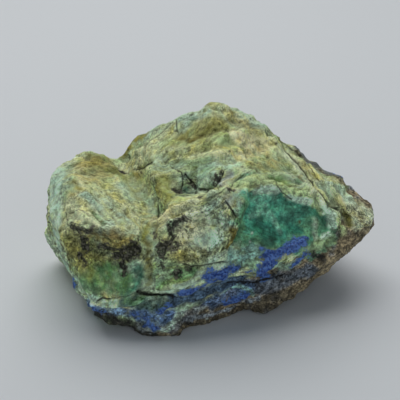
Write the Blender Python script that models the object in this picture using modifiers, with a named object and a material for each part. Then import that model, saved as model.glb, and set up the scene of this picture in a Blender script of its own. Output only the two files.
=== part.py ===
"""Chrysocolla specimen: one hand-sized broken stone, resting on a small flat break.

The stone is made the way it was: a block is broken off along planes, wedges are
split out of it, its edges are rounded, and relief is worked into what is left.
Metres, +Z up, origin on the flat break that it rests on. +X is the pointed end,
and -Y is the face with the blue azurite band.
"""

import math

import bmesh
import bpy
import numpy as np
from mathutils import Matrix, Vector, noise

MM = 0.001

# Driving dimensions.
CENTRE = Vector((0.0, 0.0, 22.0)) * MM   # break planes are measured from here
BLOCK_SIZE = 200 * MM
ON_PLANE = 0.001 * MM                    # corners this near a plane count as on it
VOXEL = 0.7 * MM
SMOOTHING_PASSES = 6
TRIANGLE_BUDGET = 9400

# The beds rise towards +X and a little towards +Y. Height above the lowest bed is
# measured along BED_AXIS; the green crust starts at CRUST_FLOOR and stands proud of
# the brown rock below it.
BED_AXIS = Vector((-0.33, -0.16, 0.93)).normalized()
BED_THICKNESS = 4.5 * MM
BED_STEP = 0.6 * MM
BED_WAVINESS = 4 * MM
CRUST_FLOOR = 12.5 * MM
CRUST_OVERHANG = 0.9 * MM
CRUST_EDGE = 2.0 * MM                    # bed height over which the overhang comes in
OVERHANG_START = 8.0 * MM                # and the depth behind y = 0 over which it does
STEP_SLOPE = 4.0                         # a step's steep side against its long one
STEP_LEVEL = 0.4                         # share of a step that lies below the old surface
STEP_PATCH = (24.0 * MM, 2.0)            # size of the stepped patches, and their strength
PATCH_OFFSET = Vector((3.7, 1.3, 8.1))   # where on the stone the bed steps show

# Uneven breakage: wavelength and height of the swells and of the sharper creases.
SWELL = (12.0 * MM, 0.8 * MM)
CREASE = (6.0 * MM, 0.9 * MM)
CREASE_LEVEL = 0.3                       # noise value at which a crease adds no height

# Break planes: the way each faces, as (azimuth from -Y towards +X, elevation) in
# degrees, and its distance from CENTRE in millimetres.
BREAKS = {
    "left_end": (-84, 2, 39.6),
    "left_shoulder": (-66, 40, 29.0),
    "left_rim": (-57, 64, 19.6),
    "left_end_under": (-66, -16, 35.8),
    "left_foot": (-58, -46, 36.4),
    "left_front": (-19, 15, 22.8),
    "left_low_front": (-12, -8, 25.4),
    "middle_front": (-3.5, 24, 18.6),
    "lower_front": (20, -14, 19.1),
    "right_front": (36, 20, 22.4),
    "underside_right": (88, -59, 25.8),
    "right_end_low": (45, -23, 27.2),
    "right_tip": (82, 10, 38.8),
    "right_top": (70, 63, 17.0),
    "roof_right": (66, 60, 19.2),
    "roof_middle": (22, 69, 18.0),
    "crest": (0, 86, 25.0),
    "back_upper_left": (-160, 44, 25.9),
    "back_upper_right": (150, 33, 25.8),
    "back_right": (140, 22, 28.4),
    "back": (184, 4, 25.0),
    "back_left": (-150, 10, 27.8),
    "back_under": (176, -48, 28.5),
    "sole_back": (176, -72, 23.6),
    "sole_left": (-75, -74, 26.7),
    "sole_right": (85, -76, 23.7),
}

# Wedges split out of the block: the planes that bound the missing piece, each
# facing into it, in the same terms as the break planes.
WEDGES = {
    "saddle": {
        "left_slope": (68, 76, 1.2),
        "hump_flank": (-72, 32, 16.6),
    },
    "shoulder": {
        "left_slope": (68, 76, 1.2),
        "roof_left": (-55, 59, 15.2),
    },
    "fresh_scar": {
        "scar_face": (29, 26, 16.4),
        "step": (90, -21, 3.7),
    },
}


# Relief worked into the faces: half width, height (negative goes in) and the line
# it follows, all in millimetres.
RELIEF = {
    "gully": (5.0, -2.0, [(-23, 14, 30), (-18.5, 6.5, 28.5), (-14.5, -3, 29), (-13, -10, 28.5)]),
    "front_fold": (3.6, -2.6, [(-13, -10, 28.5), (-14.5, -16, 25.5), (-15, -20, 21), (-15.5, -21, 17)]),
    "fissure_pocket": (4.0, -2.4, [(-9, -5, 34), (-3.5, -9, 35.5), (1, -10, 37), (5, -7, 36)]),
    "olive_lump": (4.0, 1.4, [(-11, -6, 32)]),
    "seam": (2.4, -1.8, [(15, 14, 36), (19, 13.5, 33), (22.5, 10, 30.5), (27, 2, 27), (31, -1, 24.5)]),
    "right_pit": (2.8, -1.6, [(33.5, -2, 22.5)]),
    "rim_knob": (5.0, 0.9, [(-31, 11, 32), (-27.5, 12, 31)]),
    "rim_notch": (4.5, -1.3, [(-37, 7.5, 32), (-33, 9, 33)]),
    "left_brow": (4.0, 0.8, [(-33, -12.5, 26), (-26, -15, 26.5), (-18, -16.5, 26)]),
    "brow_hollow": (5.0, -0.8, [(-31, -15, 20), (-22, -18, 20)]),
    "green_bulge": (6.5, 1.2, [(-27, -17, 13), (-20, -20, 14)]),
    "middle_rim": (3.0, 0.9, [(-12, -14, 28.5), (-5, -14, 33), (2.5, -13, 36)]),
    "middle_belly": (8.0, 1.0, [(-3, -18, 25)]),
    "scar_hollow": (10.0, -1.2, [(16, -9, 26)]),
    "scar_lip": (2.8, 1.3, [(9, -9, 36), (18, -4, 33), (26, -1, 28), (30, -2, 23)]),
    "azurite_ledge": (2.8, 1.5, [(-6, -22, 13), (-1.5, -21, 15), (6, -18.5, 16), (14, -15, 18),
                                 (23, -9.5, 19.5)]),
    "under_ledge": (3.0, -1.7, [(5, -18.5, 14), (10, -16, 12.5), (17.5, -13.5, 13)]),
    "split": (1.8, -1.8, [(-17, -21.5, 13.5), (-13, -23, 13.5), (-9, -23.5, 13.5)]),
    "low_band": (3.0, 0.8, [(-26.5, -19, 9), (-18.5, -21, 11)]),
    "low_bulge": (6.0, 1.5, [(-14.5, -20, 3), (-9, -20.5, 2)]),
    "foot_bulge": (6.0, 1.4, [(-25, -18, 4.5)]),
    "heel_bulge": (6.0, 1.9, [(-32.5, -8.5, 6)]),
    "low_right_face": (6.0, 1.1, [(34.5, -3, 14.5), (28, -6.5, 12)]),
    "keel": (7.0, 1.6, [(20, -8, 8), (14.5, -10.5, 4)]),
    "keel_hollow": (5.0, -1.2, [(9.5, -11.5, 2), (4.5, -13.5, 1.5)]),
    "shoulder_hollow": (5.0, -2.4, [(25, 12.5, 31.5), (28.5, 10.5, 30)]),
    "hump_edge": (6.0, -1.4, [(-13, 12, 38), (-18, 14.5, 35)]),
    "crest_left": (5.0, 0.7, [(-6, 13.5, 41.5)]),
    "crest_knob": (7.0, 1.9, [(3, 14, 44), (10, 14, 42), (15, 14, 39)]),
    "step_foot": (2.4, -1.1, [(9, -10, 34), (6, -13, 28), (4, -17, 22)]),
    "hump_groove": (3.2, -1.2, [(13, 9.5, 37), (3.5, -3.5, 38), (-6, -4.5, 35.5)]),
    "crest_groove": (3.2, -1.0, [(6, 14, 41), (-2.5, 1.5, 39.5), (-12.5, 2, 35)]),
}


def facing(azimuth, elevation):
    """The unit vector that a break plane faces."""
    a = math.radians(azimuth)
    e = math.radians(elevation)
    return Vector((math.sin(a) * math.cos(e), -math.cos(a) * math.cos(e), math.sin(e)))


def cut_by_plane(bm, point, normal, keep_inside):
    """Keep one side of a plane and close the hole."""
    cut = bmesh.ops.bisect_plane(
        bm,
        geom=bm.verts[:] + bm.edges[:] + bm.faces[:],
        dist=ON_PLANE,
        plane_co=point,
        plane_no=normal,
        clear_outer=keep_inside,
        clear_inner=not keep_inside,
    )
    rim = [g for g in cut["geom_cut"] if isinstance(g, bmesh.types.BMEdge)]
    bmesh.ops.contextual_create(bm, geom=rim)


def broken_block(name, planes, keep_inside):
    """A cube cut by planes, keeping what lies on one side of all of them."""
    bm = bmesh.new()
    bmesh.ops.create_cube(bm, size=BLOCK_SIZE, matrix=Matrix.Translation(CENTRE))
    for azimuth, elevation, distance in planes.values():
        normal = facing(azimuth, elevation)
        cut_by_plane(bm, CENTRE + normal * distance * MM, normal, keep_inside)
    bmesh.ops.recalc_face_normals(bm, faces=bm.faces[:])
    mesh = bpy.data.meshes.new(name)
    bm.to_mesh(mesh)
    bm.free()
    return bpy.data.objects.new(name, mesh)


def evaluated_mesh(stone, name):
    """The stone's mesh with its modifiers applied."""
    graph = bpy.context.evaluated_depsgraph_get()
    mesh = bpy.data.meshes.new_from_object(stone.evaluated_get(graph), depsgraph=graph)
    mesh.name = name
    return mesh


def distance_to_line(points, line):
    """Distance from each point to a line of straight stretches."""
    line = np.array(line, dtype=float) * MM
    if len(line) == 1:
        return np.linalg.norm(points - line[0], axis=1)
    nearest = np.full(len(points), np.inf)
    for start, end in zip(line[:-1], line[1:]):
        along = end - start
        t = np.clip((points - start) @ along / (along @ along), 0.0, 1.0)
        gap = np.linalg.norm(points - (start + t[:, None] * along), axis=1)
        nearest = np.minimum(nearest, gap)
    return nearest


def worked_in(points):
    """Height that RELIEF adds at each point."""
    height = np.zeros(len(points))
    for half_width, rise, line in RELIEF.values():
        t = np.clip(distance_to_line(points, line) / (half_width * MM), 0.0, 1.0)
        height += rise * MM * (1.0 - t * t) ** 2
    return height


def breakage(points):
    """Height of the uneven breakage, the bed steps and the overhanging crust."""
    height = np.zeros(len(points))
    for i, point in enumerate(points):
        p = Vector(point)
        swell = noise.noise(p / SWELL[0])
        crease = CREASE_LEVEL - abs(noise.noise(p / CREASE[0]))
        bed = p.dot(BED_AXIS) + BED_WAVINESS * swell
        phase = (bed / BED_THICKNESS) % 1.0
        patch = max(0.0, noise.noise(p / STEP_PATCH[0] + PATCH_OFFSET) * STEP_PATCH[1])
        step = min(phase, (1.0 - phase) * STEP_SLOPE) - STEP_LEVEL
        height[i] = SWELL[1] * swell - CREASE[1] * crease + BED_STEP * patch * step
        if p.y > 0:
            rise = min(max((bed - CRUST_FLOOR) / CRUST_EDGE, 0.0), 1.0)
            height[i] += CRUST_OVERHANG * (rise - 0.5) * min(p.y / OVERHANG_START, 1.0)
    return height


def work_relief(mesh):
    """Move each vertex along its normal by the relief."""
    count = len(mesh.vertices)
    points = np.empty(count * 3)
    normals = np.empty(count * 3)
    mesh.vertices.foreach_get("co", points)
    mesh.vertices.foreach_get("normal", normals)
    points = points.reshape(-1, 3)
    normals = normals.reshape(-1, 3)
    height = worked_in(points) + breakage(points)
    mesh.vertices.foreach_set("co", (points + normals * height[:, None]).ravel())
    mesh.update()


def flat_break(mesh):
    """Cut the underside flat where the stone rests."""
    bm = bmesh.new()
    bm.from_mesh(mesh)
    cut_by_plane(bm, Vector((0, 0, 0)), Vector((0, 0, -1)), keep_inside=True)
    bmesh.ops.triangulate(bm, faces=[f for f in bm.faces if len(f.verts) > 3])
    bmesh.ops.recalc_face_normals(bm, faces=bm.faces[:])
    bm.to_mesh(mesh)
    bm.free()


def crust_material():
    """Pale green chrysocolla crust."""
    material = bpy.data.materials.new("chrysocolla_crust")
    material.use_nodes = True
    shader = material.node_tree.nodes["Principled BSDF"]
    shader.inputs["Base Color"].default_value = (0.36, 0.46, 0.33, 1.0)
    shader.inputs["Roughness"].default_value = 0.6
    shader.inputs["Metallic"].default_value = 0.0
    return material


def main():
    for old in list(bpy.data.objects):
        bpy.data.objects.remove(old)
    specimen = bpy.data.collections.new("chrysocolla_specimen")
    cutters = bpy.data.collections.new("cutters")
    for collection in (specimen, cutters):
        bpy.context.scene.collection.children.link(collection)

    stone = broken_block("specimen", BREAKS, keep_inside=True)
    specimen.objects.link(stone)
    for name, planes in WEDGES.items():
        wedge = broken_block(name, planes, keep_inside=False)
        wedge.hide_render = True
        wedge.display_type = "WIRE"
        cutters.objects.link(wedge)
        cut = stone.modifiers.new(name, "BOOLEAN")
        cut.operation = "DIFFERENCE"
        cut.object = wedge
    remesh = stone.modifiers.new("even_mesh", "REMESH")
    remesh.mode = "VOXEL"
    remesh.voxel_size = VOXEL
    smooth = stone.modifiers.new("round_edges", "SMOOTH")
    smooth.factor = 0.5
    smooth.iterations = SMOOTHING_PASSES

    stone.data = evaluated_mesh(stone, "rounded")
    stone.modifiers.clear()
    work_relief(stone.data)
    thin = stone.modifiers.new("fewer_faces", "DECIMATE")
    thin.ratio = TRIANGLE_BUDGET / (2 * len(stone.data.polygons))
    stone.data = evaluated_mesh(stone, "specimen")
    stone.modifiers.clear()
    flat_break(stone.data)
    stone.data.materials.clear()
    stone.data.materials.append(crust_material())


main()
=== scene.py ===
import math

import bmesh
import bpy
import numpy as np
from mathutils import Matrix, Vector, noise
from mathutils.bvhtree import BVHTree


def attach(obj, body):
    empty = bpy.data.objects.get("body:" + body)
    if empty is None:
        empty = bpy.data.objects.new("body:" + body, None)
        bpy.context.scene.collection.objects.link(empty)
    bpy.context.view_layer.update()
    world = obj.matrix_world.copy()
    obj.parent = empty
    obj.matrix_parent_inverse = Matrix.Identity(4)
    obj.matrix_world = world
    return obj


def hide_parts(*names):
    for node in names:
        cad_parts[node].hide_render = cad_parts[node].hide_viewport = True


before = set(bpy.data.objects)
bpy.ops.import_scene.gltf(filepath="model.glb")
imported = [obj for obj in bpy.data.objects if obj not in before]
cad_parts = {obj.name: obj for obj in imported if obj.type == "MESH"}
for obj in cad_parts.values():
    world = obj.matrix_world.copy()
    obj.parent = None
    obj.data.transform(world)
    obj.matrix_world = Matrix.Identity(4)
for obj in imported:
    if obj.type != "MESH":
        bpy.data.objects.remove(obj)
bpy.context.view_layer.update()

MM = 0.001

# -------- camera
# The stone is seen from 30 degrees above its blue-banded face. Pixel places below are
# in the 400 x 400 frame of this camera.
IMAGE_SIZE = 400
VIEW_ELEVATION = math.radians(30)
VIEW_TARGET = Vector((-2.5, 0.0, 26.2)) * MM
VIEW_DISTANCE = 330 * MM
PIXELS_PER_M = 4070          # at the target
SENSOR_WIDTH = 36            # in millimetres, as the camera's lens is

TOWARDS_VIEWER = Vector((0, -math.cos(VIEW_ELEVATION), math.sin(VIEW_ELEVATION)))
VIEW_UP = Vector((0, math.sin(VIEW_ELEVATION), math.cos(VIEW_ELEVATION)))
VIEW_RIGHT = Vector((1, 0, 0))
EYE = VIEW_TARGET + TOWARDS_VIEWER * VIEW_DISTANCE
FOCAL_PIXELS = PIXELS_PER_M * VIEW_DISTANCE

# -------- the stone's fine form
VOXEL = 0.42 * MM
SMOOTHING_PASSES = 4
WELD = 1e-6                   # metres; CAD corners closer than this become one
RESTING = 0.05 * MM           # the stone keeps the CAD's form below this height
CRACK_FORM = 0.6              # mm, the narrowest groove that the mesh can carry
HOLLOW_DEPTH = 0.07           # mm below the neighbours, the depth that scales a hollow's painted shade

MIDDLE_OF_VIEW = (205, 225)   # a pixel well inside the stone
EDGE_TRIES = 60               # pixels that a stroke may lie outside the stone
STROKE_STEP = 5               # pixels between the points of a stroke
TOUCHING = 1e-12              # square metres; a stretch shorter than this is a point
FAR = 3.0                     # mm, stands for anywhere away from a stroke

THREAD_STRETCH = 2.2          # how much longer than wide the hidden sides' threads are
THREAD_FLOOR = 9.0            # mm from every named way at which the bed's own way counts
SMALLEST_SHARE = 0.03         # of a region's threads that still shows at a point
BLOCK_REACH = 200 * MM        # further than anything on the stone

# The beds: their axis, the heights along it in mm where they change on the hidden sides,
# and how far back a face looks to be on one of those.
BED_AXIS = Vector((-0.33, -0.16, 0.93)).normalized()
ROCK_TOP = 10.5
AZURITE_TOP = 13.5
HIDDEN_SIDE = 0.2

# Noise over the stone: wavelength and seed. The last two run along the threads.
WIDE = (15 * MM, 5)
BROAD = (7 * MM, 1)
MEDIUM = (2.8 * MM, 2)
SMALL = (1.3 * MM, 3)
TINY = (0.7 * MM, 4)
LIVELY = (4.5 * MM, 6)
BANDS = (3.2 * MM, 20)
THREADS = (1.2 * MM, 60)

# -------- the stone's material
# Noise: scale, detail and roughness. Grains: cells to a metre.
STRANDS_ALONG = (1350, 7, 0.7)
STRANDS_ROUND = (1500, 6, 0.7)
GRIT = (3000, 4, 0.65)
PATCHES = (240, 3, 0.6)
MOTTLE = (420, 5, 0.62)
HUES = (420, 3, 0.55)
STAINS = (380, 5, 0.65)
FOLDS = (700, 4, 0.6)
WRINKLES = (1250, 3, 0.6)
WAVER = (1000, 5, 0.65)
GRAINS = 2100

# What noise turns into: its range, then the brightness or the cover at each end.
LUMPS = (0.35, 0.65, 0.5, 1.55)
BLOTCHES = (0.36, 0.64, 0.62, 1.42)
STREAKS_FLAT = (0.34, 0.56, 0.84, 1.28)
STREAKS_STEEP = (0.34, 0.62, 0.26, 1.9)
STREAKS_SMOOTH = (0.36, 0.6, 0.86, 1.31)
STREAKS_ROCK = (0.36, 0.62, 0.52, 1.55)
GRIT_LIGHT = (0.3, 0.6, 0.8, 1.09)
GRAIN_LIGHT = (0.1, 0.9, 0.45, 1.5)
STAIN_COVER = (0.52, 0.7, 0.0, 0.6)
CREASE_COVER = (0.46, 0.62, 0.08, 1.0)
SPECK_COVER = (0.5, 0.6, 0.15, 0.9)

# Colours that the tint is multiplied by, and linear colours that cover it.
MINTY = (0.93, 1.02, 1.02, 1)
YELLOWED = (1.06, 1.01, 0.78, 1)
STAIN = (0.87, 0.87, 0.56, 1)
CREASE = (0.23, 0.22, 0.12, 1)
SPECK = (0.07, 0.06, 0.035, 1)
BLUE_DEEP = (0.02, 0.058, 0.27, 1)
BLUE_BRIGHT = (0.12, 0.25, 0.66, 1)
BLUE_DUSTY = (0.24, 0.34, 0.47, 1)
BLUE_RIM = (0.1, 0.2, 0.27, 1)
SOOT_DARK = (0.014, 0.014, 0.012, 1)
SOOT_PALE = (0.18, 0.17, 0.13, 1)
CRACK_BLACK = (0.014, 0.015, 0.012, 1)

SPECULAR = 0.35
BUMP_STRENGTH = 0.7
BUMP_DISTANCE = 0.4 * MM

# -------- floor and light
FLOOR_SIZE = 4.0    # metres
FLOOR_COLOUR = (0.69, 0.72, 0.75, 1)
FLOOR_ROUGHNESS = 0.7
SKY_COLOUR = (0.8, 0.86, 0.92, 1)
SKY_STRENGTH = 0.15

# Lamps that shine on the origin: place and size in metres, watts and colour.
LAMPS = {
    "softbox": ((-0.05, 0.22, 0.5), 0.6, 2.4, (1.0, 0.99, 0.97)),
    "front_fill": ((0.04, -0.62, 0.3), 0.6, 0.76, (0.9, 0.96, 1.0)),
}


def linear(hex_colour):
    """Linear RGB of an sRGB hex colour."""
    channels = [int(hex_colour[i:i + 2], 16) / 255 for i in (1, 3, 5)]
    return np.array([c / 12.92 if c <= 0.04045 else ((c + 0.055) / 1.055) ** 2.4
                     for c in channels])


# -------- colours and tables
CREAM = linear("#d9e0b3")
STRAW = linear("#d4d48c")
PALE_GREEN = linear("#c1d59b")
MINT = linear("#bdd4b9")
AQUA = linear("#abcab2")
SAGE = linear("#98b386")
GREEN = linear("#719f6a")
MOSS = linear("#a2a75c")
OLIVE = linear("#949251")
OLIVE_BROWN = linear("#6f6a34")
TAN = linear("#bbaf6c")
PEACH = linear("#c8b981")
RUST = linear("#5f5428")
LILAC = linear("#bfcac2")
TEAL = linear("#53a68a")
DEEP_TEAL = linear("#33806a")
SCAR_GREEN = linear("#699f74")
SCAR_PALE = linear("#86c4a8")
SLATE = linear("#546e66")
GREY_BLUE = linear("#5f7a9d")
ROCK_BROWN = linear("#877b60")
ROCK_GREY = linear("#687078")
SLIVER = linear("#80795c")
BLUE_HAZE = linear("#82a2be")
OCHRE = linear("#85784a")
# Cream brighter than the crust itself, for painted highlights and painted light on faces that the
# lamps leave dim.
HIGHLIGHT_CREAM = linear("#f0edbd")
PALE_MINT = linear("#e2edca")
GREY_PALE = linear("#8f989d")
ICE = linear("#cfebd0")
SLATE_BLUE = linear("#526a80")
SKY = linear("#93bdb0")
ROCK_UNDER = linear("#655d4a")
# Dark matrix rock, darkened further as painted shade on the underside.
ROCK_AND_SHADE = linear("#35342d")
SCAR_DARK = linear("#3c6a58")
DARK = linear("#2b2a22")

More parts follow.
